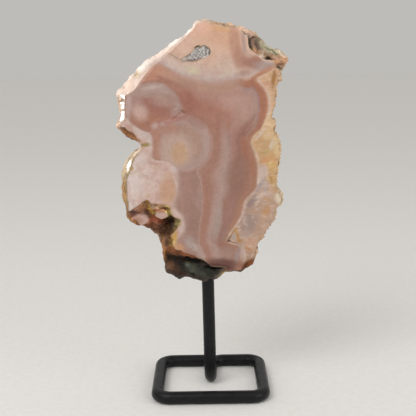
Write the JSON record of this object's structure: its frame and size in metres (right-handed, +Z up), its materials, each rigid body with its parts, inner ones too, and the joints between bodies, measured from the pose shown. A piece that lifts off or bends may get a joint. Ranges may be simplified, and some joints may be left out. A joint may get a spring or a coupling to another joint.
{
  "type": "pink amethyst slice",
  "caption": "Polished slice of banded pink amethyst with a rough crust and a small crystal pocket, on a bent-rod stand.",
  "frame": {"origin": "the middle of the bounding box's underside, on the surface that the stand's ring rests on", "axes": "+Z up, along the slice's height; +X to the right seen from the front; the polished face looks towards -Y"},
  "size_m": [0.0863, 0.0604, 0.1894],
  "materials": {
    "pink_amethyst": "polished",
    "grey_druze": "crystalline",
    "black_paint": "satin"
  },
  "bodies": {
    "root": {"slice": "pink_amethyst", "pocket_crystals": "grey_druze", "stand": "black_paint"}
  },
  "joints": []
}
